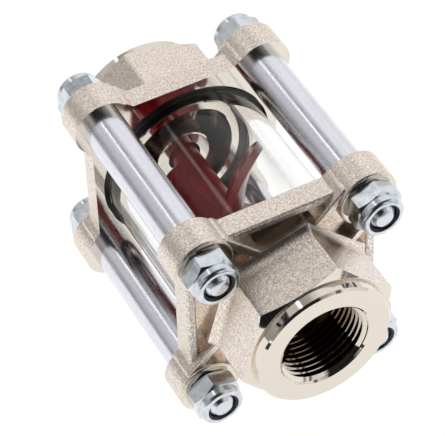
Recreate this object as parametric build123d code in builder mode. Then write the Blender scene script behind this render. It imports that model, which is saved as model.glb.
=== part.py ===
from build123d import *
from math import radians, tan
import os

# An impeller flow indicator: a glass tube clamped between two threaded pipe caps by four tie
# rods, with a four-bladed rotor that the stream turns behind the glass.
# X is the flow axis, from the inlet cap to the outlet cap, with zero half way along.
# Y is across, with zero on the flow axis. Z is up, with zero at the underside of the lower lugs.

# Driving dimensions, in millimetres and degrees

# Layout of the tie rods and the caps
rod_pitch = 49.0
face_gap = 48.3

# Sight glass and gaskets
glass_outer_d = 50.0
glass_wall = 5.0
glass_inset = 1.8
glass_edge = 0.4
gasket_thickness = 1.0
gasket_clearance = 0.15
groove_clearance_inside = 1.4
groove_clearance_outside = 1.2

# Cap plate: a square with a raised rim, round lugs and pairs of ribs
plate_width = 57.4
rim_height = 6.8
rim_wall = 2.8
rim_edge_r = 0.8
pocket_floor = 4.2
pocket_corner_r = 2.0
channel_floor = 5.5
lug_d = 17.5
lug_height = 9.8
lug_edge_r = 0.8
rib_offset = 7.9
rib_thickness = 2.7
rib_height = 8.7
rib_edge_r = 0.7
rib_start = 17.0

# Cap hub: a hexagon with a flared foot, a turned shoulder and a collar
hub_flats = 41.0
hub_corner_r = 1.2
hub_turn = 15.0
foot_flats = 43.6
flare_r = 5.0
flare_top = 12.6
shoulder_angle = 22.0
collar_d = 39.9
collar_height = 3.6
collar_edge = 0.65
cap_height = 30.1

# Pipe port, bored to the thread's outer diameter
port_d = 26.4
port_edge = 0.55
throat_d = 24.0
throat_length = 1.4

# Chamber behind the glass, and the bearing boss on its three arms
chamber_d = 31.8
chamber_depth = 9.2
chamber_taper = 3.0
land_edge = 0.3
boss_d = 16.4
boss_back = 10.4
boss_edge = 0.3
cup_d = 10.0
cup_depth = 4.8
arm_count = 3
arm_width = 3.0
arm_front = 5.6
arm_back = 9.2
arm_first_angle = 90.0
arm_root = 0.6

# Tie rods and lock nuts
rod_d = 12.0
stud_d = 8.0
stud_proud = 0.1
stud_edge = 1.4
lug_hole_clearance = 0.25
nut_flats = 13.0
nut_height = 8.0
nut_hex_height = 5.5
nut_face_d = 11.9
nut_bevel_angle = 30.0
crown_d = 12.6
crown_edge_r = 1.1
lip_opening_d = 9.26
lip_thickness = 0.6
insert_d = 10.6
insert_depth = 2.2
thread_clearance = 0.05
outlet_nut_turns = (57.0, 25.0, 10.0, 40.0)
inlet_nut_turns = (22.0, 48.0, 35.0, 5.0)

# Rotor, shaft and bushes
rotor_clearance = 1.0
rotor_hub_d = 8.2
hub_end_gap = 0.4
hub_end_edge = 0.5
blade_count = 4
blade_thickness = 3.2
blade_root_front = -0.5
blade_tip_front = -11.4
blade_back = 17.0
blade_corner_r = 2.2
blade_twist_rate = 3.2
blade_angle = 64.0
blade_steps = 4
shaft_d = 3.0
shaft_seat_clearance = 0.01
shaft_end_gap = 0.8
bush_d = 6.0
bush_clearance = 0.02
bush_running_clearance = 0.05

# Values worked out from the driving dimensions
glass_r = glass_outer_d / 2
glass_bore_r = glass_r - glass_wall
glass_length = face_gap + 2 * glass_inset
groove_inner_r = glass_bore_r - groove_clearance_inside
groove_outer_r = glass_r + groove_clearance_outside
groove_depth = glass_inset + gasket_thickness
chamber_r = chamber_d / 2
port_r = port_d / 2
shoulder_height = cap_height - collar_height
throat_start = chamber_depth + chamber_taper
port_floor = throat_start + throat_length
stud_height = lug_height + nut_height + stud_proud
nut_bore_r = stud_d / 2 + thread_clearance
insert_floor = nut_height - lip_thickness - insert_depth
rotor_r = glass_bore_r - rotor_clearance
shaft_r = shaft_d / 2
axis_height = (rod_pitch + lug_d) / 2
lug_reach = rod_pitch / 2
lug_diagonal = lug_reach * 2**0.5
lug_places = [
    (-lug_reach, lug_reach),
    (lug_reach, lug_reach),
    (lug_reach, -lug_reach),
    (-lug_reach, -lug_reach),
]

# A cap's face plane lies on its inner face and points out of the indicator. Both caps are one
# casting: the inlet cap is the outlet cap turned half round about Z.
middle = Plane(origin=(0, 0, axis_height), x_dir=(0, 1, 0), z_dir=(1, 0, 0))
outlet_face = middle.offset(face_gap / 2)
inlet_face = Plane(origin=(-face_gap / 2, 0, axis_height), x_dir=(0, -1, 0), z_dir=(-1, 0, 0))
faces = {"inlet": inlet_face, "outlet": outlet_face}
nut_turns = {"inlet": inlet_nut_turns, "outlet": outlet_nut_turns}

os.makedirs("parts", exist_ok=True)


def centre_line(plane):
    """The axis that stands on a plane's origin."""
    return Axis(plane.origin, plane.z_dir)


def half_section(plane):
    """The plane of a turned piece's half section, where x is height and y is radius."""
    return Plane(origin=plane.origin, x_dir=plane.z_dir, z_dir=plane.y_dir)


def moved_to(plane, place):
    """The same plane with its origin at a place in it."""
    origin = plane.from_local_coords((*place, 0))
    return Plane(origin=origin, x_dir=plane.x_dir, z_dir=plane.z_dir)


def save(piece, name):
    piece.part.label = name
    export_step(piece.part, f"parts/{name}.step")


def make_hub(face):
    """A cap's hexagon, with its flared foot, rounded corners and turned shoulder."""
    out = centre_line(face)
    flare_foot = flare_top - flare_r
    reach = plate_width / 2
    shoulder_drop = (reach - hub_flats / 2) * tan(radians(shoulder_angle))
    with BuildPart() as hub:
        with BuildSketch(face):
            RegularPolygon(hub_flats / 2 + 2 * flare_r, 6, major_radius=False, rotation=hub_turn)
        extrude(amount=flare_foot)
        with BuildSketch(face.offset(flare_foot)) as hexagon:
            RegularPolygon(hub_flats / 2, 6, major_radius=False, rotation=hub_turn)
            fillet(hexagon.vertices(), hub_corner_r)
        extrude(amount=shoulder_height - flare_foot)
        # The flare is the lower part of a large root radius, trimmed to the foot's hexagon
        ledge = hub.faces().filter_by(GeomType.PLANE).group_by(out)[2].face()
        fillet(ledge.inner_wires()[0].edges(), flare_r)
        with BuildSketch(face) as foot:
            RegularPolygon(foot_flats / 2, 6, major_radius=False, rotation=hub_turn)
            fillet(foot.vertices(), hub_corner_r)
        extrude(amount=shoulder_height, mode=Mode.INTERSECT)
        # A turned cone cuts the hexagon's corners back to the shoulder
        with BuildSketch(half_section(face)):
            with BuildLine():
                Polyline(
                    (0, 0),
                    (0, reach),
                    (shoulder_height - shoulder_drop, reach),
                    (shoulder_height, hub_flats / 2),
                    (shoulder_height, 0),
                    close=True,
                )
            make_face()
        revolve(axis=out, mode=Mode.INTERSECT)
    return hub


def make_cap(face):
    """An end cap: lugged plate, hexagonal hub, collar, pipe port and bearing spider."""
    out = centre_line(face)
    hub = make_hub(face)
    with BuildPart() as cap:
        # The plate, open on its outer side between the rim and the hub
        with BuildSketch(face):
            Rectangle(plate_width, plate_width)
        extrude(amount=rim_height)
        with BuildSketch(face.offset(pocket_floor)) as pocket:
            Rectangle(plate_width - 2 * rim_wall, plate_width - 2 * rim_wall)
            fillet(pocket.vertices(), pocket_corner_r)
        extrude(amount=rim_height - pocket_floor, mode=Mode.SUBTRACT)
        fillet(cap.edges().group_by(out)[-1], rim_edge_r)
        # The raised channels between each lug and the hub, and a rib along each side of them
        with BuildSketch(face):
            with PolarLocations(0, 2, start_angle=45, angular_range=180, endpoint=False):
                Rectangle(2 * lug_diagonal, 2 * rib_offset)
        extrude(amount=channel_floor)
        with BuildSketch(face):
            with PolarLocations((rib_start + lug_diagonal) / 2, 4, start_angle=45):
                with Locations((0, rib_offset), (0, -rib_offset)):
                    SlotOverall(lug_diagonal - rib_start, rib_thickness)
        extrude(amount=rib_height)
        fillet(cap.edges().group_by(out)[-1], rib_edge_r)
        with BuildSketch(face):
            with Locations(*lug_places):
                Circle(lug_d / 2)
        extrude(amount=lug_height)
        fillet(cap.edges().group_by(out)[-1], lug_edge_r)
        add(hub.part)
        with BuildSketch(face.offset(shoulder_height)):
            Circle(collar_d / 2)
        extrude(amount=cap_height - shoulder_height)
        chamfer(cap.edges().group_by(out)[-1], collar_edge)
        # The gasket groove, then the chamber, throat and port in one turned cut
        with BuildSketch(half_section(face)):
            with BuildLine():
                Polyline(
                    (0, groove_outer_r),
                    (groove_depth, groove_outer_r),
                    (groove_depth, groove_inner_r),
                    (land_edge, groove_inner_r),
                    (0, groove_inner_r - land_edge),
                    close=True,
                )
            make_face()
        revolve(axis=out, mode=Mode.SUBTRACT)
        with BuildSketch(half_section(face)):
            with BuildLine():
                Polyline(
                    (0, 0),
                    (0, chamber_r + land_edge),
                    (land_edge, chamber_r),
                    (chamber_depth, chamber_r),
                    (throat_start, throat_d / 2),
                    (port_floor, throat_d / 2),
                    (port_floor, port_r),
                    (cap_height - port_edge, port_r),
                    (cap_height, port_r + port_edge),
                    (cap_height, 0),
                    close=True,
                )
            make_face()
        revolve(axis=out, mode=Mode.SUBTRACT)
        # The bearing boss, with the cup that the rotor's hub runs in, on its arms
        with BuildSketch(half_section(face)):
            with BuildLine():
                Polyline(
                    (0, cup_d / 2),
                    (0, boss_d / 2 - boss_edge),
                    (boss_edge, boss_d / 2),
                    (boss_back, boss_d / 2),
                    (boss_back, bush_d / 2 + bush_clearance),
                    (cup_depth, bush_d / 2 + bush_clearance),
                    (cup_depth, cup_d / 2),
                    close=True,
                )
            make_face()
        revolve(axis=out)
        with BuildSketch(face.offset(arm_front)):
            with PolarLocations((chamber_r + boss_d / 2) / 2, arm_count, start_angle=arm_first_angle):
                Rectangle(chamber_r - boss_d / 2 + 2 * arm_root, arm_width)
        extrude(amount=arm_back - arm_front)
        with BuildSketch(face):
            with Locations(*lug_places):
                Circle(stud_d / 2 + lug_hole_clearance)
        extrude(amount=lug_height, mode=Mode.SUBTRACT)
    return cap


def make_gasket(face):
    """The flat ring that the glass's end presses into the cap's groove."""
    with BuildPart() as gasket:
        with BuildSketch(face.offset(glass_inset)):
            Circle(groove_outer_r - gasket_clearance)
            Circle(groove_inner_r + gasket_clearance, mode=Mode.SUBTRACT)
        extrude(amount=gasket_thickness)
    return gasket


def make_tie_rod(place):
    """A bar whose shoulders space the caps, with a threaded stud at each end."""
    base = moved_to(middle, place)
    with BuildPart() as tie_rod:
        with BuildSketch(base):
            Circle(rod_d / 2)
        extrude(amount=face_gap / 2, both=True)
        with BuildSketch(base):
            Circle(stud_d / 2)
        extrude(amount=face_gap / 2 + stud_height, both=True)
        ends = tie_rod.edges().group_by(Axis.X)
        chamfer(ends[0] + ends[-1], stud_edge)
    return tie_rod


def make_nut(seat, turn):
    """A lock nut: bevelled hexagon, and a crown whose lip is rolled over the locking ring."""
    out = centre_line(seat)
    corner_r = nut_flats / 3**0.5
    bevel = tan(radians(nut_bevel_angle))
    with BuildPart() as nut:
        with BuildSketch(seat):
            RegularPolygon(nut_flats / 2, 6, major_radius=False, rotation=turn)
        extrude(amount=nut_hex_height)
        with BuildSketch(half_section(seat)):
            with BuildLine():
                Polyline(
                    (0, 0),
                    (0, nut_face_d / 2),
                    ((corner_r - nut_face_d / 2) * bevel, corner_r),
                    (nut_hex_height - (corner_r - crown_d / 2) * bevel, corner_r),
                    (nut_hex_height, crown_d / 2),
                    (nut_hex_height, 0),
                    close=True,
                )
            make_face()
        revolve(axis=out, mode=Mode.INTERSECT)
        with BuildSketch(seat.offset(nut_hex_height)):
            Circle(crown_d / 2)
        extrude(amount=nut_height - nut_hex_height)
        fillet(nut.edges().group_by(out)[-1], crown_edge_r)
        with BuildSketch(half_section(seat)):
            with BuildLine():
                Polyline(
                    (0, 0),
                    (0, nut_bore_r),
                    (insert_floor, nut_bore_r),
                    (insert_floor, insert_d / 2),
                    (nut_height - lip_thickness, insert_d / 2),
                    (nut_height - lip_thickness, lip_opening_d / 2),
                    (nut_height, lip_opening_d / 2),
                    (nut_height, 0),
                    close=True,
                )
            make_face()
        revolve(axis=out, mode=Mode.SUBTRACT)
    return nut


def make_nut_insert(seat):
    """The locking ring held under a nut's lip."""
    with BuildPart() as insert:
        with BuildSketch(seat.offset(insert_floor)):
            Circle(insert_d / 2 - thread_clearance)
            Circle(nut_bore_r, mode=Mode.SUBTRACT)
        extrude(amount=insert_depth)
    return insert


def make_bush(face):
    """The plain bush that carries the shaft in a cap's boss."""
    with BuildPart() as bush:
        with BuildSketch(face.offset(cup_depth)):
            Circle(bush_d / 2)
            Circle(shaft_r + bush_running_clearance, mode=Mode.SUBTRACT)
        extrude(amount=boss_back - cup_depth)
    return bush


# Sight glass, with its ends in both caps' grooves
with BuildPart() as sight_glass:
    with BuildSketch(middle):
        Circle(glass_r)
        Circle(glass_bore_r, mode=Mode.SUBTRACT)
    extrude(amount=glass_length / 2, both=True)
    glass_ends = sight_glass.edges().group_by(Axis.X)
    chamfer(glass_ends[0] + glass_ends[-1], glass_edge)
save(sight_glass, "sight_glass")

# Caps, gaskets and bushes
for end, face in faces.items():
    save(make_cap(face), f"{end}_cap")
    save(make_gasket(face), f"{end}_gasket")
    save(make_bush(face), f"{end}_bush")

# Tie rods, with a lock nut and its locking ring on each stud
for number, place in enumerate(lug_places, start=1):
    save(make_tie_rod(place), f"tie_rod_{number}")
    for end, face in faces.items():
        nut_seat = moved_to(face.offset(lug_height), place)
        save(make_nut(nut_seat, nut_turns[end][number - 1]), f"{end}_nut_{number}")
        save(make_nut_insert(nut_seat), f"{end}_nut_insert_{number}")

# Rotor: each blade is lofted through turned sections, then all are turned to their outline
blade_length = blade_back - blade_tip_front
with BuildPart() as rotor:
    for blade in range(blade_count):
        for step in range(blade_steps + 1):
            station = blade_tip_front + blade_length * step / blade_steps
            turn = blade_angle + blade_twist_rate * station + 360 / blade_count * blade
            with BuildSketch(middle.offset(station)):
                with PolarLocations(0, 1, start_angle=turn):
                    Rectangle(
                        rotor_r + blade_thickness,
                        blade_thickness,
                        align=(Align.MIN, Align.CENTER),
                    )
        loft()
    with BuildSketch(half_section(middle)) as outline:
        with BuildLine():
            Polyline(
                (blade_root_front, 0),
                (blade_root_front, rotor_hub_d / 2),
                (blade_tip_front, rotor_r),
                (blade_back, rotor_r),
                (blade_back, 0),
                close=True,
            )
        make_face()
        fillet(outline.vertices().group_by(Axis.Y)[-1], blade_corner_r)
    revolve(axis=centre_line(middle), mode=Mode.INTERSECT)
    with BuildSketch(middle):
        Circle(rotor_hub_d / 2)
    extrude(amount=face_gap / 2 + cup_depth - hub_end_gap, both=True)
    hub_ends = rotor.edges().group_by(Axis.X)
    chamfer(hub_ends[0] + hub_ends[-1], hub_end_edge)
    with BuildSketch(middle):
        Circle(shaft_r + shaft_seat_clearance)
    extrude(amount=face_gap, both=True, mode=Mode.SUBTRACT)
save(rotor, "rotor")

# Shaft, fixed in the rotor and running in both bushes
with BuildPart() as rotor_shaft:
    with BuildSketch(middle):
        Circle(shaft_r)
    extrude(amount=face_gap / 2 + boss_back - shaft_end_gap, both=True)
save(rotor_shaft, "rotor_shaft")
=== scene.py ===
# %% [markdown]
# An impeller flow indicator is a short piece of glass pipe that a plumber can look into. Two
# nickel-plated caps hold the glass, four zinc-plated bars hold the caps, and a red rotor turns
# behind the glass while liquid runs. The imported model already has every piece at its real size,
# so this lesson gives each surface its finish, adds the pipe thread that is too fine for the
# solids, and sets up the camera and the studio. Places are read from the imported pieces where
# they can be, so that a finish stays on its own surface.

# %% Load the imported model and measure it
import math
import bpy
from mathutils import Matrix, Vector


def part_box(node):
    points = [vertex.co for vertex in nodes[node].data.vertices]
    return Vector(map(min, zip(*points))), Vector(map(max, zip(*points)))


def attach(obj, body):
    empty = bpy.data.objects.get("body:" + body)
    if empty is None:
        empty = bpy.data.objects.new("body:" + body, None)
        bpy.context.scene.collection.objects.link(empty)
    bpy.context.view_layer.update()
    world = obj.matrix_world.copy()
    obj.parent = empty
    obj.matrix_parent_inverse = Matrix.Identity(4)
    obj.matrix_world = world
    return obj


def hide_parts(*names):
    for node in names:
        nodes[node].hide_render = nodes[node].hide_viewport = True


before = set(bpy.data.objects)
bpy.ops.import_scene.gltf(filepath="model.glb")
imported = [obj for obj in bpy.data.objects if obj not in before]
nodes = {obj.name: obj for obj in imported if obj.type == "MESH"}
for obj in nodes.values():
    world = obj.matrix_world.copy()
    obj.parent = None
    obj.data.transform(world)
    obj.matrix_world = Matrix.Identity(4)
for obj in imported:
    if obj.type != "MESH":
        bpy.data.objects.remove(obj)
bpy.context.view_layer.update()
MM = 0.001
glass_low, glass_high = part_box("sight_glass")
cap_low, cap_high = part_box("outlet_cap")
nut_low, nut_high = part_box("outlet_nut_1")
axis_height = (glass_low.z + glass_high.z) / 2
inner_face_x = cap_low.x
lug_top_x = nut_low.x
port_face_x = cap_high.x
print("axis height", round(axis_height, 5), "inner face at", round(inner_face_x, 5))

# %% [markdown]
# The camera comes first, because every finish is judged through it. Its place was found from the
# photograph: a long lens, about 63 degrees round to the outlet end and 47 degrees above the bench,
# rolled by two degrees. A camera looks along its own minus Z, so its matrix is made from three
# directions: right, up and back.

# %% Camera directions
view_azimuth = math.radians(63.164)
view_elevation = math.radians(47.045)
view_roll = math.radians(-1.9)

back = Vector((
    math.sin(view_azimuth) * math.cos(view_elevation),
    -math.cos(view_azimuth) * math.cos(view_elevation),
    math.sin(view_elevation),
))
level_right = Vector((math.cos(view_azimuth), math.sin(view_azimuth), 0))
level_up = back.cross(level_right)
right = math.cos(view_roll) * level_right + math.sin(view_roll) * level_up
up = -math.sin(view_roll) * level_right + math.cos(view_roll) * level_up
print("camera looks from", [round(v, 3) for v in back])

# %% [markdown]
# The long lens stands well back, which keeps the bars almost parallel as in the photograph. The
# view transform is Standard, so a colour that is written below comes out as written.

# %% Camera
camera_place = Vector((397.69, -202.96, 511.41)) * MM
focal_length = 191.5

lens = bpy.data.cameras.new("photo_lens")
lens.lens = focal_length
lens.sensor_width = 36
lens.sensor_fit = "HORIZONTAL"
lens.clip_start = 0.01
lens.clip_end = 20
camera = bpy.data.objects.new("photo_camera", lens)
bpy.context.scene.collection.objects.link(camera)
turn = Matrix((right, up, back)).transposed().to_4x4()
camera.matrix_world = Matrix.Translation(camera_place) @ turn
bpy.context.scene.camera = camera
bpy.context.scene.view_settings.view_transform = "Standard"
print("camera at", [round(v, 3) for v in camera_place])

# %% [markdown]
# Every finish below is a small graph of nodes. A graph could be drawn by hand in the editor, but
# a script can be read and run again. Three helpers do the work: one fills sockets with numbers or
# with other nodes' outputs, one adds a node, and one places a node group in a material.

# %% Helpers: nodes
def fill(tree, node, sockets):
    """Sets a node's sockets, each from a plain value or from another node's output."""
    for name, value in sockets.items():
        if isinstance(value, bpy.types.NodeSocket):
            tree.links.new(value, node.inputs[name])
        else:
            node.inputs[name].default_value = value
    return node


def add(tree, kind, sockets=None, **settings):
    """Adds a node of this kind, with its settings and its sockets."""
    node = tree.nodes.new(kind)
    for name, value in settings.items():
        setattr(node, name, value)
    return fill(tree, node, sockets or {})


def use_group(tree, group, sockets):
    """Places a node group in a material, with this material's own values."""
    return fill(tree, add(tree, "ShaderNodeGroup", node_tree=group), sockets)


print("node helpers ready")

# %% [markdown]
# Most of a graph is plain arithmetic on places and patterns. With one short word for each step,
# a mask reads like a sentence: the radius is below this, and the height is above that.

# %% Helpers: arithmetic
def calc(tree, operation, *values):
    """One step of arithmetic, as a Math node's output."""
    sockets = dict(enumerate(values))
    return add(tree, "ShaderNodeMath", sockets, operation=operation).outputs[0]


def plus(tree, first, second):
    """A sum."""
    return calc(tree, "ADD", first, second)


def minus(tree, first, second):
    """A difference."""
    return calc(tree, "SUBTRACT", first, second)


def times(tree, first, second):
    """A product. Of two masks it is where both hold."""
    return calc(tree, "MULTIPLY", first, second)


def larger(tree, first, second):
    """The larger of two values. Of two masks it is where at least one holds."""
    return calc(tree, "MAXIMUM", first, second)


def below(tree, value, limit):
    """A mask of where a value is under a limit."""
    return calc(tree, "LESS_THAN", value, limit)


def above(tree, value, limit):
    """A mask of where a value is over a limit."""
    return calc(tree, "GREATER_THAN", value, limit)


def without_sign(tree, value):
    """How far a value is from zero, on either side."""
    return calc(tree, "ABSOLUTE", value)


def span(tree, value, from_low, from_high, to_low=0.0, to_high=1.0):
    """Moves a value from one range to another and holds it there."""
    sockets = {0: value, 1: from_low, 2: from_high, 3: to_low, 4: to_high}
    return add(tree, "ShaderNodeMapRange", sockets, clamp=True).outputs[0]


print("arithmetic helpers ready")

# %% [markdown]
# The last helpers are the parts that every finish has: a noise for anything uneven, a mix of two
# colours, a bump that tilts the surface, and the shader itself with its links.

# %% Helpers: patterns and shaders
def noise(tree, place, fineness, detail):
    """A noise pattern. Its fineness is about how many blobs fit in a metre."""
    sockets = {"Vector": place, "Scale": fineness, "Detail": detail}
    return add(tree, "ShaderNodeTexNoise", sockets).outputs["Fac"]


def colour_blend(tree, factor, low, high):
    """Mixes two colours. A Mix node has many sockets, so the colour ones go by number."""
    sockets = {0: factor, 6: low, 7: high}
    return add(tree, "ShaderNodeMix", sockets, data_type="RGBA").outputs[2]


def bumped(tree, height, strength, distance):
    """A normal that tilts as this height would tilt the surface."""
    sockets = {"Height": height, "Strength": strength, "Distance": distance}
    return add(tree, "ShaderNodeBump", sockets).outputs[0]


def start_material(name):
    """An empty material with its Principled shader already wired to the output."""
    material = bpy.data.materials.new(name)
    material.use_nodes = True
    tree = material.node_tree
    tree.nodes.clear()
    shader = tree.nodes.new("ShaderNodeBsdfPrincipled")
    add(tree, "ShaderNodeOutputMaterial", {0: shader.outputs[0]})
    place = tree.nodes.new("ShaderNodeTexCoord").outputs["Object"]
    return material, tree, shader, place


def wire(tree, shader, colour, roughness, normal=None, metallic=0.0):
    """Links what changes over a surface to its shader, and sets how metallic it is."""
    tree.links.new(colour, shader.inputs["Base Color"])
    tree.links.new(roughness, shader.inputs["Roughness"])
    if normal is not None:
        tree.links.new(normal, shader.inputs["Normal"])
    shader.inputs["Metallic"].default_value = metallic


print("pattern and shader helpers ready")

# %% [markdown]
# An effect that several finishes need is made once, as a node group. A group has named inputs,
# so each finish gives it its own size, and named outputs, so it is clear what comes out.

# %% Helper: start a node group
def start_group(name, inputs, outputs):
    """A node group with named inputs and outputs, and its two end nodes."""
    group = bpy.data.node_groups.new(name, "ShaderNodeTree")
    for title, kind, value in inputs:
        socket = group.interface.new_socket(title, in_out="INPUT", socket_type=kind)
        if value is not None:
            socket.default_value = value
    for title in outputs:
        group.interface.new_socket(title, in_out="OUTPUT", socket_type="NodeSocketFloat")
    return group, group.nodes.new("NodeGroupInput"), group.nodes.new("NodeGroupOutput")


PLACE_INPUT = ("Place", "NodeSocketVector", None)
print("group helper ready")

# %% [markdown]
# Sand casting leaves a skin of fine grains, and plating does not hide it. Each grain is a small
# bump with its own tilt, so the surface glitters. A picture of such a skin would blur close up,
# so two noises of different size make the height, and the same noise darkens the hollows.

# %% Group: cast grain
coarse_share = 0.45
fine_weight, coarse_weight = 0.8, 0.4
hollow_level, crest_level = 0.47, 0.72

cast_grain, start, end = start_group(
    "Cast grain",
    [PLACE_INPUT, ("Grain size", "NodeSocketFloat", 0.4 * MM)],
    ["Height", "Tone"],
)
tree = cast_grain
fineness = calc(tree, "DIVIDE", 1.0, start.outputs["Grain size"])
fine = noise(tree, start.outputs["Place"], fineness, detail=2.0)
coarse = noise(tree, start.outputs["Place"], times(tree, fineness, coarse_share), detail=1.0)
height = plus(tree, times(tree, fine, fine_weight), times(tree, coarse, coarse_weight))
tone = span(tree, height, hollow_level, crest_level)
fill(tree, end, {"Height": height, "Tone": tone})
print(cast_grain.name, "has", len(tree.nodes), "nodes")

# %% [markdown]
# Bars are drawn through a die, which leaves long fine lines. Squeezing the pattern's place along
# the bar stretches an ordinary noise into such lines, fifty times as long as they are wide.

# %% Group: drawn lines
squeeze = (0.02, 1.0, 1.0)
line_low, line_high = 0.35, 0.65

drawn_lines, start, end = start_group(
    "Drawn lines",
    [PLACE_INPUT, ("Line width", "NodeSocketFloat", 0.4 * MM)],
    ["Height", "Tone"],
)
tree = drawn_lines
sockets = {0: start.outputs["Place"], 1: squeeze}
squeezed = add(tree, "ShaderNodeVectorMath", sockets, operation="MULTIPLY").outputs[0]
fineness = calc(tree, "DIVIDE", 1.0, start.outputs["Line width"])
lines = noise(tree, squeezed, fineness, detail=3.0)
fill(tree, end, {"Height": lines, "Tone": span(tree, lines, line_low, line_high)})
print(drawn_lines.name, "has", len(tree.nodes), "nodes")

# %% [markdown]
# Handling leaves faint clouds on anything smooth: the shine is a little duller in patches. Metal,
# glass and plastic all share this group, with their own size of cloud.

# %% Group: handling marks
cloud_low, cloud_high = 0.35, 0.7

handling_marks, start, end = start_group(
    "Handling marks",
    [PLACE_INPUT, ("Cloud size", "NodeSocketFloat", 8 * MM)],
    ["Mask"],
)
tree = handling_marks
fineness = calc(tree, "DIVIDE", 1.0, start.outputs["Cloud size"])
clouds = noise(tree, start.outputs["Place"], fineness, detail=4.0)
fill(tree, end, {"Mask": span(tree, clouds, cloud_low, cloud_high)})
print(handling_marks.name, "has", len(tree.nodes), "nodes")

# %% [markdown]
# A cap is cast first and then turned on a lathe where it has to be flat or round: the inner face,
# the groove under the glass, the lug tops under the nuts, the shoulder, the collar and the bore.
# One casting is one piece, so its material tells the two skins apart by place: how far along the
# flow axis a point is, and how far from it. These are the cap's own sizes. Both caps are alike,
# so the distance along the axis is taken without its sign.

# %% Sizes of a cap's surfaces
shoulder_x = inner_face_x + 26.5 * MM
shoulder_slope = math.tan(math.radians(22))
hub_flat_r = 20.5 * MM
groove_outer_r = 26.2 * MM
groove_floor_x = inner_face_x + 2.8 * MM
bore_edge_r = 14.2 * MM
chamber_r = 16.5 * MM
lug_near_r = 25.5 * MM
plate_half = 28.7 * MM
rim_wall = 2.8 * MM
rim_front_x = inner_face_x + 6.8 * MM
skin = 0.06 * MM
print("shoulder at", round(shoulder_x, 5), "rim's front at", round(rim_front_x, 5))

# %% [markdown]
# The group starts by measuring a point: along the axis, away from the axis, and, for the square
# plate, how far out it is towards the nearest side of the square.

# %% Group: surfaces of a cap, where a point is
cap_zones, start, end = start_group(
    "Cap surfaces", [PLACE_INPUT], ["Turned", "Radius", "Depth", "Pocket", "Rim"],
)
tree = cap_zones
parts = add(tree, "ShaderNodeSeparateXYZ", {0: start.outputs["Place"]})
along = without_sign(tree, parts.outputs["X"])
raised = minus(tree, parts.outputs["Z"], axis_height)
squares = plus(tree, calc(tree, "POWER", parts.outputs["Y"], 2.0), calc(tree, "POWER", raised, 2.0))
radius = calc(tree, "SQRT", squares)
across = larger(tree, without_sign(tree, parts.outputs["Y"]), without_sign(tree, raised))
print("a point is measured with", len(tree.nodes), "nodes")

# %% [markdown]
# Each turned surface is then one test. A thin skin is allowed on each side, because a point on a
# surface never falls exactly on its number. The shoulder is a cone, so its place along the axis
# falls as the radius grows. The largest of the tests is the mask of all that is turned.

# %% Group: surfaces of a cap, what is turned
on_inner_face = below(tree, along, inner_face_x + skin)
in_groove = times(tree, below(tree, along, groove_floor_x + skin),
                  below(tree, radius, groove_outer_r + skin))
in_bore = below(tree, radius, bore_edge_r)
fallen = times(tree, minus(tree, radius, hub_flat_r), shoulder_slope)
cone_x = minus(tree, shoulder_x, fallen)
on_shoulder = above(tree, along, minus(tree, cone_x, skin))
lug_gap = without_sign(tree, minus(tree, along, lug_top_x))
on_lug = times(tree, below(tree, lug_gap, skin), above(tree, radius, lug_near_r))
turned_mask = on_inner_face
for zone in (in_groove, in_bore, on_shoulder, on_lug):
    turned_mask = larger(tree, turned_mask, zone)
print("turned surfaces are found with", len(tree.nodes), "nodes")

# %% [markdown]
# Three more masks pick out places that look unlike the rest. Inside the chamber and the bore the
# colour is darkened, fully deep in and fading out towards the port's mouth: this is painted shade,
# for the shade of the dark hollow. The pocket inside the plate's rim is smoother than the rest of
# the casting, so it mirrors the dark room instead of glittering. The rim's front edge keeps crumbs
# of metal from the mould, so its grain is coarser for the first half millimetre.

# %% Group: surfaces of a cap, painted shade, pocket and rim
shade_fade_at_port = (port_face_x - 9 * MM, port_face_x - 0.6 * MM)
shade_fade_at_glass = (inner_face_x + 0.3 * MM, inner_face_x + 1.5 * MM)
pocket_fade = 3 * MM
crumbly_edge = 0.5 * MM

# Painted shade: inside the chamber's radius the cap is darkened. It fades in just past the inner
# face and fades out over the last 9 mm before the port's mouth.
inside = below(tree, radius, chamber_r)
from_port = span(tree, along, *shade_fade_at_port, 1.0, 0.0)
from_glass = span(tree, along, *shade_fade_at_glass)
depth = times(tree, inside, times(tree, from_port, from_glass))
in_square = below(tree, across, plate_half - rim_wall)
behind_rim = span(tree, along, rim_front_x, rim_front_x + pocket_fade, 1.0, 0.0)
on_wall = times(tree, above(tree, across, plate_half - rim_wall - skin),
                below(tree, across, plate_half + skin))
at_front = times(tree, above(tree, along, rim_front_x - crumbly_edge),
                 below(tree, along, rim_front_x + skin))
fill(tree, end, {
    "Turned": turned_mask, "Radius": radius, "Depth": depth,
    "Pocket": times(tree, in_square, behind_rim), "Rim": times(tree, on_wall, at_front),
})
print("node groups:", sorted(group.name for group in bpy.data.node_groups))

# %% [markdown]
# Nickel over brass is a warm white metal. The cast skin scatters the light and looks pinkish
# brown where it faces a dark part of the room, and the turned surfaces are nearly a mirror. The
# colour is laid on in layers: first the cast skin, then the crumbly rim, then the turned
# surfaces, and last a dark brown painted shade inside the chamber and the bore.

# %% Material: plated caps, colour
plated_brass, tree, shader, place = start_material("plated_brass")
zones = use_group(tree, cap_zones, {"Place": place})
grain = use_group(tree, cast_grain, {"Place": place, "Grain size": 0.3 * MM})
clouds = use_group(tree, handling_marks, {"Place": place, "Cloud size": 9 * MM})
is_turned, in_pocket, on_rim = (zones.outputs[title] for title in ("Turned", "Pocket", "Rim"))

cast_hollow, cast_crest = (0.64, 0.545, 0.47, 1), (0.94, 0.865, 0.79, 1)
crumb_hollow, crumb_crest = (0.42, 0.34, 0.28, 1), (1.0, 0.97, 0.93, 1)
turned_nickel = (0.77, 0.71, 0.63, 1)
# Dark brown of the painted shade inside the chamber and the bore.
painted_bore_shade = (0.18, 0.12, 0.085, 1)

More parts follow.
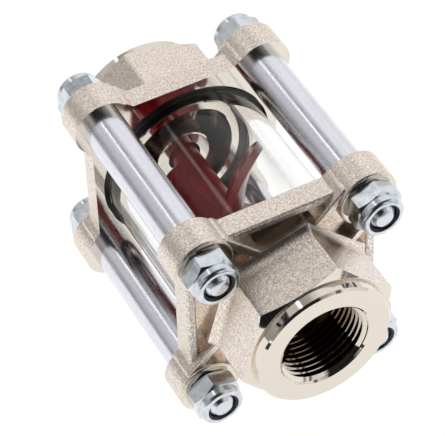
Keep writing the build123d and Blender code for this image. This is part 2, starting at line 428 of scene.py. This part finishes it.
cast_colour = colour_blend(tree, grain.outputs["Tone"], cast_hollow, cast_crest)
crumb_colour = colour_blend(tree, grain.outputs["Tone"], crumb_hollow, crumb_crest)
rim_colour = colour_blend(tree, on_rim, cast_colour, crumb_colour)
plated_colour = colour_blend(tree, is_turned, rim_colour, turned_nickel)
# Last layer: the painted shade inside the chamber and the bore.
metal_and_painted_shade_colour = colour_blend(tree, zones.outputs["Depth"], plated_colour, painted_bore_shade)
print("cap colour made with", len(tree.nodes), "nodes")

# %% [markdown]
# The shine and the height follow the same zones. A turned surface also has fine rings from the
# tool, about three to a millimetre, which are a wave over the radius. The grain is lower in the
# pocket and higher on the crumbly rim, and there is none where the lathe has been.

# %% Material: plated caps, shine and height
hollow_roughness, crest_roughness = 0.27, 0.17
pocket_polish = 0.10
turned_clean, turned_clouded = 0.05, 0.09
ring_fineness = 900.0
ring_waviness = 0.4
ring_share = 0.004
pocket_smoothing, rim_roughening = 0.75, 0.7
cast_strength, cast_relief = 0.65, 0.2 * MM

by_grain = span(tree, grain.outputs["Tone"], 0.0, 1.0, hollow_roughness, crest_roughness)
cast_roughness = minus(tree, by_grain, times(tree, in_pocket, pocket_polish))
turned_roughness = span(tree, clouds.outputs["Mask"], 0.0, 1.0, turned_clean, turned_clouded)
roughness = add(tree, "ShaderNodeMix", {0: is_turned, 2: cast_roughness, 3: turned_roughness})
radius_vector = add(tree, "ShaderNodeCombineXYZ", {0: zones.outputs["Radius"]}).outputs[0]
rings = add(tree, "ShaderNodeTexWave", {
    "Vector": radius_vector, "Scale": ring_fineness, "Distortion": ring_waviness,
}).outputs["Fac"]
roughcast = minus(tree, 1.0, times(tree, in_pocket, pocket_smoothing))
roughcast = plus(tree, roughcast, times(tree, on_rim, rim_roughening))
grain_height = times(tree, grain.outputs["Height"], roughcast)
cast_height = times(tree, grain_height, minus(tree, 1.0, is_turned))
ring_height = times(tree, times(tree, rings, is_turned), ring_share)
height = plus(tree, cast_height, ring_height)
normal = bumped(tree, height, cast_strength, cast_relief)
wire(tree, shader, metal_and_painted_shade_colour, roughness.outputs[0], normal, metallic=1.0)
print(plated_brass.name, "has", len(tree.nodes), "nodes")

# %% [markdown]
# Zinc plate is a cooler metal than nickel. On the bars it follows the drawn lines and has small
# specks, and both change its colour and its shine. A bar is one piece with its two studs, so the
# flat stud ends are told apart by place, and the lines stop there.

# %% Material: zinc on the bars, colour and shine
bar_low, bar_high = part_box("tie_rod_1")
bar_offset = abs(bar_low.y + bar_high.y) / 2
stud_end_x = bar_high.x
zinc_dark, zinc_light = (0.72, 0.73, 0.80, 1), (0.86, 0.87, 0.94, 1)
zinc_roughness = 0.16
dull_lines, dull_clouds = 0.08, 0.07
line_share, speck_share = 0.5, 0.5
end_skin = 0.05 * MM

zinc_bar, tree, shader, place = start_material("zinc_bar")
parts = add(tree, "ShaderNodeSeparateXYZ", {0: place})
lines = use_group(tree, drawn_lines, {"Place": place, "Line width": 0.5 * MM})
specks = use_group(tree, cast_grain, {"Place": place, "Grain size": 0.45 * MM})
clouds = use_group(tree, handling_marks, {"Place": place, "Cloud size": 5 * MM}).outputs["Mask"]
along = without_sign(tree, parts.outputs["X"])
on_end = above(tree, along, stud_end_x - end_skin)
on_side = minus(tree, 1.0, on_end)
tone = plus(tree, times(tree, lines.outputs["Tone"], line_share),
            times(tree, specks.outputs["Tone"], speck_share))
bar_colour = colour_blend(tree, times(tree, tone, on_side), zinc_dark, zinc_light)
dulling = plus(tree, times(tree, tone, dull_lines), times(tree, clouds, dull_clouds))
bar_roughness = plus(tree, dulling, zinc_roughness)
print("bars lie", round(bar_offset, 5), "off the axis, studs end at", round(stud_end_x, 5))

# %% [markdown]
# A stud's end is slightly domed, which is why it shows a small picture of the room instead of
# one even grey. The dome is too shallow to need its own solid: a ball's surface falls by the
# distance squared over twice the ball's radius, and a bump at full strength, with a distance of
# one, takes that height in metres as it is.

# %% Material: zinc on the bars, domed ends and lines
dome_radius = 8 * MM
line_depth = 0.002 * MM

from_y = minus(tree, without_sign(tree, parts.outputs["Y"]), bar_offset)
raised = without_sign(tree, minus(tree, parts.outputs["Z"], axis_height))
from_z = minus(tree, raised, bar_offset)
squares = plus(tree, calc(tree, "POWER", from_y, 2.0), calc(tree, "POWER", from_z, 2.0))
sunk = calc(tree, "DIVIDE", squares, -2 * dome_radius)
line_height = times(tree, times(tree, lines.outputs["Height"], on_side), line_depth)
bar_height = plus(tree, times(tree, sunk, on_end), line_height)
normal = bumped(tree, bar_height, strength=1.0, distance=1.0)
wire(tree, shader, bar_colour, bar_roughness, normal, metallic=1.0)
print(zinc_bar.name, "has", len(tree.nodes), "nodes")

# %% [markdown]
# The nuts are cold formed, so their plating lies on a gently wavy surface with no lines.

# %% Material: zinc on the nuts
nut_dark, nut_light = (0.60, 0.65, 0.70, 1), (0.78, 0.83, 0.88, 1)
nut_clean, nut_clouded = 0.16, 0.26
waves_per_metre = 420.0
wave_strength, wave_relief = 0.25, 0.05 * MM

zinc_nut, tree, shader, place = start_material("zinc_nut")
clouds = use_group(tree, handling_marks, {"Place": place, "Cloud size": 2.2 * MM}).outputs["Mask"]
nut_colour = colour_blend(tree, clouds, nut_dark, nut_light)
nut_roughness = span(tree, clouds, 0.0, 1.0, nut_clean, nut_clouded)
waves = noise(tree, place, waves_per_metre, detail=2.0)
normal = bumped(tree, waves, wave_strength, wave_relief)
wire(tree, shader, nut_colour, nut_roughness, normal, metallic=1.0)
print(zinc_nut.name, "has", len(tree.nodes), "nodes")

# %% [markdown]
# The rotor is moulded in a dark red plastic with a soft gloss. Faint clouds keep its highlight
# from looking like a drawn line, and a low, wide grain stands for the mould's own surface. Its
# gloss is set a little below the usual value, so that the red stays deep behind the glass.

# %% Material: red plastic
red_dark, red_light = (0.34, 0.007, 0.010, 1), (0.50, 0.012, 0.016, 1)
red_clean, red_clouded = 0.16, 0.24
red_gloss = 0.35
mould_strength, mould_relief = 0.12, 0.05 * MM

red_plastic, tree, shader, place = start_material("red_plastic")
clouds = use_group(tree, handling_marks, {"Place": place, "Cloud size": 6 * MM}).outputs["Mask"]
grain = use_group(tree, cast_grain, {"Place": place, "Grain size": 0.9 * MM})
red = colour_blend(tree, clouds, red_dark, red_light)
red_roughness = span(tree, clouds, 0.0, 1.0, red_clean, red_clouded)
normal = bumped(tree, grain.outputs["Height"], mould_strength, mould_relief)
wire(tree, shader, red, red_roughness, normal)
shader.inputs["Specular IOR Level"].default_value = red_gloss
print(red_plastic.name, "has", len(tree.nodes), "nodes")

# %% [markdown]
# Gaskets and locking rings are black, but not the same black: rubber is matt and dusty, and
# nylon is smoother and slightly blue. The bush and the shaft are hardly seen, so one plain
# recipe serves all four: colour, roughness and height follow one grain.

# %% Materials: rubber, nylon, bush and shaft
plain_strength = 0.3


def plain_finish(name, dark, light, rough_low, rough_high, grain_size, relief, metallic=0.0):
    """A material whose colour, roughness and height all follow one grain."""
    material, tree, shader, place = start_material(name)
    grain = use_group(tree, cast_grain, {"Place": place, "Grain size": grain_size})
    colour = colour_blend(tree, grain.outputs["Tone"], dark, light)
    roughness = span(tree, grain.outputs["Tone"], 0.0, 1.0, rough_low, rough_high)
    normal = bumped(tree, grain.outputs["Height"], plain_strength, relief)
    wire(tree, shader, colour, roughness, normal, metallic)
    return material


gasket_rubber = plain_finish(
    "gasket_rubber", (0.006, 0.006, 0.006, 1), (0.016, 0.016, 0.015, 1),
    rough_low=0.35, rough_high=0.55, grain_size=0.5 * MM, relief=0.04 * MM,
)
insert_nylon = plain_finish(
    "insert_plastic", (0.008, 0.008, 0.010, 1), (0.022, 0.022, 0.026, 1),
    rough_low=0.30, rough_high=0.42, grain_size=0.6 * MM, relief=0.02 * MM,
)
bush_plastic = plain_finish(
    "bush_plastic", (0.10, 0.095, 0.09, 1), (0.16, 0.15, 0.14, 1),
    rough_low=0.35, rough_high=0.5, grain_size=0.5 * MM, relief=0.02 * MM,
)
shaft_steel = plain_finish(
    "shaft_steel", (0.45, 0.45, 0.46, 1), (0.62, 0.62, 0.63, 1),
    rough_low=0.18, rough_high=0.28, grain_size=0.4 * MM, relief=0.01 * MM, metallic=1.0,
)
print("plain finishes:", gasket_rubber.name, insert_nylon.name, bush_plastic.name, shaft_steel.name)

# %% [markdown]
# Glass is a clear body that bends light, so only its faint clouds can be drawn by nodes. Its
# transmission is a plain number, which lets other renderers read it. A clean tube in a white
# room would wear a milky veil of reflections over the rotor. The grey tint on its reflections
# lifts that veil, and leaves the bending of the light as it is.

# %% Material: glass
glass_clouded, glass_clean = (0.985, 0.995, 0.99, 1), (1.0, 1.0, 1.0, 1)
glass_dullest = 0.012
glass_bending = 1.5
veil_tint = (0.3, 0.3, 0.3, 1)

clear_glass, tree, shader, place = start_material("clear_glass")
clouds = use_group(tree, handling_marks, {"Place": place, "Cloud size": 14 * MM}).outputs["Mask"]
glass_colour = colour_blend(tree, clouds, glass_clouded, glass_clean)
wire(tree, shader, glass_colour, span(tree, clouds, 0.0, 1.0, 0.0, glass_dullest))
shader.inputs["IOR"].default_value = glass_bending
shader.inputs["Specular Tint"].default_value = veil_tint
shader.inputs["Transmission Weight"].default_value = 1.0
print(clear_glass.name, "bends light by", glass_bending)

# %% [markdown]
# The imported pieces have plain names, such as outlet_nut_3, and the name says what a piece is
# made of. So one function reads the name, and a loop dresses all the solids. A locking ring's
# name also holds the word nut, so it is asked for first, and what is left over is a bar.

# %% Give the solids their finishes
def finish_of(name):
    """The material that a node's name asks for."""
    if "insert" in name:
        return insert_nylon
    if "_nut_" in name:
        return zinc_nut
    for ending, material in (
        ("_cap", plated_brass), ("_gasket", gasket_rubber), ("_bush", bush_plastic),
        ("sight_glass", clear_glass), ("rotor_shaft", shaft_steel), ("rotor", red_plastic),
    ):
        if name.endswith(ending):
            return material
    return zinc_bar


for name, node in nodes.items():
    node.data.materials.clear()
    node.data.materials.append(finish_of(name))
print("finished", len(nodes), "solids")

# %% [markdown]
# A round piece can be made as on a lathe: a half section is drawn once and carried round the
# axis in small steps. With its corners listed in order, each step joins to the next with plain
# four-sided faces, and the last joins to the first, so that no seam is left open.

# %% Helpers: a turned piece
def placed(name, mesh):
    """Puts a mesh in the scene, smooth but for its sharp edges."""
    mesh.shade_smooth()
    mesh.set_sharp_from_angle(angle=math.radians(30))
    piece = bpy.data.objects.new(name, mesh)
    bpy.context.scene.collection.objects.link(piece)
    return piece


def turned(name, profile, steps=256):
    """A closed round piece from a half section: pairs of place along X and radius."""
    count = len(profile)
    corners = []
    for step in range(steps):
        angle = 2 * math.pi * step / steps
        corners += [(x, r * math.cos(angle), r * math.sin(angle) + axis_height) for x, r in profile]
    faces = []
    for step in range(steps):
        here, there = step * count, (step + 1) % steps * count
        for point in range(count):
            after = (point + 1) % count
            faces.append((here + point, here + after, there + after, there + point))
    mesh = bpy.data.meshes.new(name)
    mesh.from_pydata(corners, [], faces)
    mesh.update()
    return placed(name, mesh)


print("lathe helpers ready")

# %% [markdown]
# The glass is pressed into black rubber at both ends, and pressed rubber touches glass without
# any air between. Light inside the glass wall then meets black instead of a mirror, which gives
# the thick black ring at each end of a sight glass. The visible tube is therefore turned again
# from its half section, a hair longer than the solid, so that it reaches into the rubber.

# %% Turn the visible glass tube
press = 0.02 * MM
glass_wall = 5 * MM
edge = 0.4 * MM
outer_r = (glass_high.y - glass_low.y) / 2
bore_r = outer_r - glass_wall
end_x = glass_high.x + press
tube = turned("glass_tube", [
    (-end_x, bore_r + edge), (-end_x + edge, bore_r),
    (end_x - edge, bore_r), (end_x, bore_r + edge),
    (end_x, outer_r - edge), (end_x - edge, outer_r),
    (-end_x + edge, outer_r), (-end_x, outer_r - edge),
])
tube.data.materials.append(clear_glass)
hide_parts("sight_glass")
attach(tube, "housing")
print("glass tube", round(2 * end_x, 5), "long, wall", round(glass_wall, 5))

# %% [markdown]
# The pipe thread is a three-cornered ridge that follows a helix down the bore. Geometry Nodes
# can do that with few nodes: a spiral curve is the path, a trapezium is the ridge's section, and
# Curve to Mesh joins the two. Every size is an input, so one tree cuts both ports.

# %% Geometry tree: inputs of the thread
thread_tree = bpy.data.node_groups.new("Internal thread", "GeometryNodeTree")
for title in ("Pitch radius", "Pitch", "Turns", "Root width", "Crest width", "Ridge height"):
    thread_tree.interface.new_socket(title, in_out="INPUT", socket_type="NodeSocketFloat")
thread_tree.interface.new_socket("Points per turn", in_out="INPUT", socket_type="NodeSocketInt")
thread_tree.interface.new_socket("Finish", in_out="INPUT", socket_type="NodeSocketMaterial")
thread_tree.interface.new_socket("Geometry", in_out="OUTPUT", socket_type="NodeSocketGeometry")
wanted = thread_tree.nodes.new("NodeGroupInput").outputs
print("thread inputs:", [socket.name for socket in wanted if socket.name])

# %% [markdown]
# The path is a spiral whose radius never changes, which makes it a helix. Its normals are held
# to the helix's own axis, or the section would roll over on its way. A spiral climbs along Z,
# so the finished ridge is laid down along the flow axis at the end.

# %% Geometry tree: path, section and ridge
length = times(thread_tree, wanted["Pitch"], wanted["Turns"])
helix = add(thread_tree, "GeometryNodeCurveSpiral", {
    "Resolution": wanted["Points per turn"], "Rotations": wanted["Turns"],
    "Start Radius": wanted["Pitch radius"], "End Radius": wanted["Pitch radius"],
    "Height": length,
})
level = add(thread_tree, "GeometryNodeSetCurveNormal", {"Curve": helix.outputs[0]}, mode="Z_UP")
section = add(thread_tree, "GeometryNodeCurvePrimitiveQuadrilateral", {
    "Bottom Width": wanted["Root width"], "Top Width": wanted["Crest width"],
    "Height": wanted["Ridge height"], "Offset": 0.0,
}, mode="TRAPEZOID")
section_inwards = add(thread_tree, "GeometryNodeTransform", {
    "Geometry": section.outputs[0], "Rotation": (0.0, 0.0, math.radians(-90)),
})
ridge = add(thread_tree, "GeometryNodeCurveToMesh", {
    "Curve": level.outputs[0], "Profile Curve": section_inwards.outputs[0], "Fill Caps": True,
})
laid = add(thread_tree, "GeometryNodeTransform", {
    "Geometry": ridge.outputs[0], "Rotation": (0.0, math.radians(90), 0.0),
})
real = add(thread_tree, "GeometryNodeRealizeInstances", {"Geometry": laid.outputs[0]})
finished = add(thread_tree, "GeometryNodeSetMaterial", {
    "Geometry": real.outputs[0], "Material": wanted["Finish"],
})
add(thread_tree, "NodeGroupOutput", {0: finished.outputs[0]})
print(thread_tree.name, "has", len(thread_tree.nodes), "nodes")

# %% [markdown]
# These are the sizes for a three-quarter inch pipe, with fourteen turns to the inch. The ridge
# stands a hair into the port's wall, so that no light passes behind it. It starts a little behind
# the mouth, where a real port has its lead-in. A thread keeps its hand when it is turned half
# round, so the far port takes the same ridge, turned about the upright axis and not mirrored.

# %% Cut the thread in both ports
port_wall_r = 13.2 * MM
thread_depth = 1.16 * MM
thread_pitch = 1.814 * MM
thread_turns = 8.3
root_share, crest_share = 0.94, 0.14
into_wall = 0.06 * MM
mouth_gap = 0.9 * MM
thread_sizes = {
    "Pitch radius": port_wall_r - thread_depth / 2 + into_wall,
    "Pitch": thread_pitch, "Turns": thread_turns, "Root width": thread_pitch * root_share,
    "Crest width": thread_pitch * crest_share, "Ridge height": thread_depth,
    "Points per turn": 96, "Finish": plated_brass,
}


def wind_ridge(name):
    """Runs the geometry tree on an empty carrier and keeps the mesh that it makes."""
    carrier = bpy.data.objects.new(name + "_path", bpy.data.meshes.new(name + "_path"))
    bpy.context.scene.collection.objects.link(carrier)
    modifier = carrier.modifiers.new("thread", "NODES")
    modifier.node_group = thread_tree
    for item in thread_tree.interface.items_tree:
        if item.name in thread_sizes:
            modifier[item.identifier] = thread_sizes[item.name]
    solved = carrier.evaluated_get(bpy.context.evaluated_depsgraph_get())
    mesh = bpy.data.meshes.new_from_object(solved)
    bpy.data.objects.remove(carrier)
    return mesh


def cut_thread(name, half_turns):
    """Lays one port's ridge in its cap. The far cap's is turned half round."""
    mesh = wind_ridge(name)
    start_x = port_face_x - mouth_gap - thread_pitch * thread_turns
    turn = Matrix.Rotation(math.pi * half_turns, 4, "Z")
    lift = Matrix.Translation((0, 0, axis_height))
    mesh.transform(lift @ turn @ Matrix.Translation((start_x, 0, 0)))
    thread = placed(name, mesh)
    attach(thread, "housing")
    reach = [math.hypot(v.co.y, v.co.z - axis_height) for v in mesh.vertices]
    print(name, len(mesh.polygons), "faces")
    print("radius", round(min(reach), 5), "to", round(max(reach), 5))


cut_thread("outlet_thread", half_turns=0)
cut_thread("inlet_thread", half_turns=1)

# %% [markdown]
# The studio is a white bench in a room that gives all the light: there are no lamps. The bench
# plays two parts. As something to look at, also in metal and through glass, it glows almost to
# white and still takes the object's shadow. As something that throws light back, it is a plain
# pale paint, so that it does not light the object from below more than a real bench would.

# %% Bench
bench_glow = 0.91
glow_colour = (1.0, 0.998, 0.99, 1)
shadow_paint = (0.32, 0.32, 0.32, 1)
bounce_paint = (0.80, 0.80, 0.80, 1)

bpy.ops.mesh.primitive_circle_add(vertices=96, radius=0.9, fill_type="NGON")
bench = bpy.context.object
bench.name = "bench"
bench_paint = bpy.data.materials.new("bench_paint")
bench_paint.use_nodes = True
tree = bench_paint.node_tree
tree.nodes.clear()
bounce = add(tree, "ShaderNodeBsdfDiffuse", {"Color": bounce_paint}).outputs[0]
glow = add(tree, "ShaderNodeEmission", {"Color": glow_colour, "Strength": bench_glow}).outputs[0]
pale = add(tree, "ShaderNodeBsdfDiffuse", {"Color": shadow_paint}).outputs[0]
shown = add(tree, "ShaderNodeAddShader", {0: glow, 1: pale}).outputs[0]
ray = tree.nodes.new("ShaderNodeLightPath").outputs
through_shine = larger(tree, ray["Is Glossy Ray"], ray["Is Transmission Ray"])
looked_at = larger(tree, ray["Is Camera Ray"], through_shine)
mixed = add(tree, "ShaderNodeMixShader", {0: looked_at, 1: bounce, 2: shown}).outputs[0]
add(tree, "ShaderNodeOutputMaterial", {0: mixed})
bench.data.materials.append(bench_paint)
print("bench", round(bench.dimensions.x, 2), "across")

# %% [markdown]
# Shiny metal shows what stands round it, so the room is where the black and white lines on the
# bars and the collar come from. A picture of a real room would do, but a room made of nodes can
# be told exactly where to be light. Its light is drawn first as bands round the flow axis: pale
# over the right-hand side, dark overhead with one bright slit, and grey to the left.

# %% World: bands round the flow axis
# Each stop is an angle in degrees, from the right-hand horizon over the top to the left-hand
# one, and the grey seen there.
room_stops = (
    (-6, 0.78), (4, 0.86), (30, 0.96), (70, 0.96), (82, 0.74), (93, 0.42), (105, 0.34),
    (107.5, 2.60), (109.5, 2.60), (112, 0.60), (140, 0.64), (152, 0.56), (163, 0.38),
    (180, 0.34), (200, 0.60),
)
ramp_start = -90
warmth = (1.0, 0.985, 0.98)

world = bpy.data.worlds.new("studio")
bpy.context.scene.world = world
world.use_nodes = True
tree = world.node_tree
tree.nodes.clear()
direction = tree.nodes.new("ShaderNodeTexCoord").outputs["Generated"]
parts = add(tree, "ShaderNodeSeparateXYZ", {0: direction}).outputs
round_axis = calc(tree, "ARCTAN2", parts["Y"], parts["Z"])
share = span(tree, round_axis, math.radians(180), math.radians(-180))
ramp = add(tree, "ShaderNodeValToRGB", {0: share})
ramp.color_ramp.interpolation = "EASE"
band = ramp.color_ramp.elements
for number, (angle, grey) in enumerate(room_stops):
    position = (angle - ramp_start) / 360
    stop = band[number] if number < 2 else band.new(position)
    stop.position = position
    stop.color = (*(grey * share_of for share_of in warmth), 1)
print("the room has", len(band), "stops of light")

# %% [markdown]
# Three dark zones are laid over the bands, by compass bearing and by height. The photographer's
# side of the room is dark, so that a rounded edge or a nut's crown that faces the camera shows a
# black line. The ceiling over the outlet end is dark too, and the grains of the cast skin that
# lean that way pick it up as brown specks. One thin upright, like a lamp stand, draws a fine
# dark line on what is round.

# %% World: dark zones
dark_zone = (0.02, 0.02, 0.02, 1)
background_white = (1, 1, 1, 1)
dark_side_bearing = math.radians(-10)
dark_side_half = (math.radians(24), math.radians(32))
upright_bearing = math.radians(40)
upright_half = (math.radians(2.5), math.radians(4.5))
upright_depth = 0.85
ceiling_from_x = (-0.22, 0.15)
ceiling_from_z = (0.45, 0.65)
ceiling_depth = 0.96

bearing = calc(tree, "ARCTAN2", parts["Y"], parts["X"])
off_side = without_sign(tree, minus(tree, bearing, dark_side_bearing))
dark_side = span(tree, off_side, *dark_side_half, 1.0, 0.0)
dark_ceiling = times(tree, span(tree, parts["X"], *ceiling_from_x),
                     span(tree, parts["Z"], *ceiling_from_z, 0.0, ceiling_depth))
off_upright = without_sign(tree, minus(tree, bearing, upright_bearing))
upright = span(tree, off_upright, *upright_half, upright_depth, 0.0)
darkness = larger(tree, larger(tree, dark_side, dark_ceiling), upright)
room = colour_blend(tree, darkness, ramp.outputs[0], dark_zone)
seen_directly = tree.nodes.new("ShaderNodeLightPath").outputs["Is Camera Ray"]
seen_colour = colour_blend(tree, seen_directly, room, background_white)
sky = add(tree, "ShaderNodeBackground", {"Color": seen_colour, "Strength": 1.0}).outputs[0]
add(tree, "ShaderNodeOutputWorld", {0: sky})
print("world has", len(tree.nodes), "nodes")

# %% [markdown]
# A photographer lays cards on the table to draw a line on metal, and so does this studio. A wide
# black card in front gives the shoulder its black side, and a narrow black one with a grey one
# beside it darken the shoulder's right corner. The camera does not see them, and they throw no
# shadow.

# %% Cards on the bench
weave_per_metre = 300.0
weave_contrast = 0.2


def card_finish(name, grey):
    """A matt card with a faint weave."""
    material, tree, shader, place = start_material(name)
    dark, light = grey * (1 - weave_contrast), grey * (1 + weave_contrast)
    weave = noise(tree, place, weave_per_metre, detail=1.0)
    colour = colour_blend(tree, weave, (dark, dark, dark, 1), (light, light, light, 1))
    tree.links.new(colour, shader.inputs["Base Color"])
    return material


def lay_card(name, finish, width, depth, place, turn=0.0):
    """A card on the bench that only shiny surfaces and glass see."""
    bpy.ops.mesh.primitive_plane_add(size=1.0, location=place, rotation=(0, 0, turn))
    card = bpy.context.object
    card.name = name
    card.scale = (width, depth, 1)
    card.data.materials.append(finish)
    card.visible_camera = False
    card.visible_diffuse = False
    card.visible_shadow = False
    print(name, "laid at", place)


black_card = card_finish("black_card", 0.01)
grey_card = card_finish("grey_card", 0.45)
strip_turn = math.radians(23)
lay_card("dark_card", black_card, 0.9, 0.40, (0.60, -0.11, 0.002))
lay_card("dark_strip", black_card, 0.02, 0.16, (0.225, 0.145, 0.004), strip_turn)
lay_card("grey_strip", grey_card, 0.07, 0.16, (0.182, 0.127, 0.003), strip_turn)
